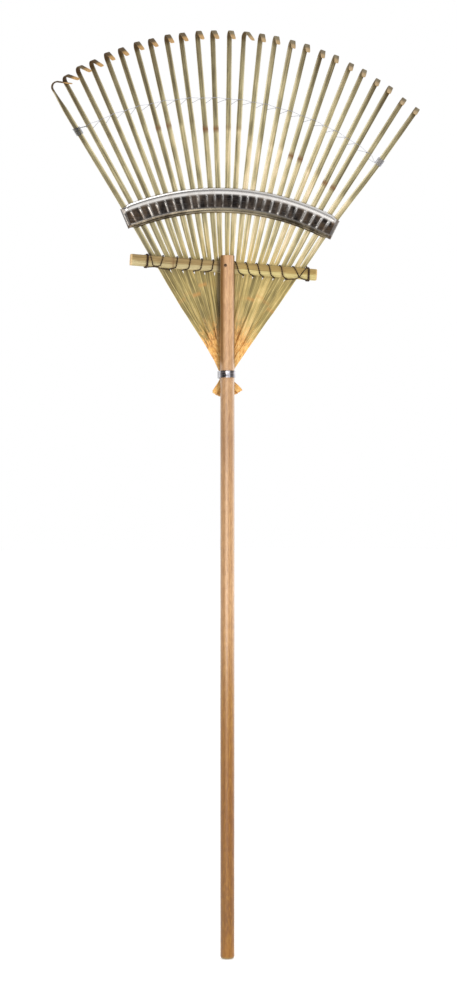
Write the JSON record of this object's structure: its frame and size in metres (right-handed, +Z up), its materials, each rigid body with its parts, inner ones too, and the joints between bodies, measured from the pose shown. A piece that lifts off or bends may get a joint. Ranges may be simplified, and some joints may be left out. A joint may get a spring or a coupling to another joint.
{
  "type": "leaf rake",
  "caption": "Bamboo leaf rake: a fan of split, hooked tines with a spacer wire, a pressed steel brace and a laced crossbar, banded and nailed to a straight round wooden handle.",
  "frame": {"origin": "centre of the flat end face of the handle's butt", "axes": "+Z up the handle towards the tines, -Y to the front, where the tine hooks point, +X to the right seen from the front"},
  "size_m": [0.6509, 0.0524, 1.611],
  "materials": {
    "handle_wood": "varnished",
    "bamboo": "satin",
    "bamboo_stick": "satin",
    "polished_steel": "polished",
    "lacing_wire": "dark annealed",
    "galvanised_wire": "galvanised"
  },
  "bodies": {
    "handle_and_head": {"handle": "handle_wood", "handle_nail": "polished_steel", "base_band": "polished_steel", "crossbar_front": "bamboo_stick", "crossbar_back": "bamboo_stick", "lacing_wire_left": "lacing_wire", "lacing_wire_right": "lacing_wire", "brace_front": "polished_steel", "brace_back": "polished_steel", "slat_01": "bamboo", "slat_02": "bamboo", "slat_03": "bamboo", "slat_04": "bamboo", "slat_05": "bamboo", "slat_06": "bamboo", "slat_07": "bamboo", "slat_08": "bamboo", "slat_09": "bamboo", "slat_10": "bamboo", "slat_11": "bamboo", "slat_12": "bamboo", "slat_13": "bamboo"},
    "tine_ends": {"tine_end_01": "bamboo", "tine_end_02": "bamboo", "tine_end_03": "bamboo", "tine_end_04": "bamboo", "tine_end_05": "bamboo", "tine_end_06": "bamboo", "tine_end_07": "bamboo", "tine_end_08": "bamboo", "tine_end_09": "bamboo", "tine_end_10": "bamboo", "tine_end_11": "bamboo", "tine_end_12": "bamboo", "tine_end_13": "bamboo", "tine_end_14": "bamboo", "tine_end_15": "bamboo", "tine_end_16": "bamboo", "tine_end_17": "bamboo", "tine_end_18": "bamboo", "tine_end_19": "bamboo", "tine_end_20": "bamboo", "tine_end_21": "bamboo", "tine_end_22": "bamboo", "tine_end_23": "bamboo", "tine_end_24": "bamboo", "tine_end_25": "bamboo", "tine_end_26": "bamboo", "spacer_wire": "galvanised_wire"}
  },
  "joints": [
    {"name": "tine_flex", "type": "hinge", "parent": "handle_and_head", "child": "tine_ends", "pos_m": [0.001, 0.0202, 1.341], "axis": [-1, 0, 0], "range_deg": [-3, 10], "stiffness_Nm_per_rad": 45}
  ]
}
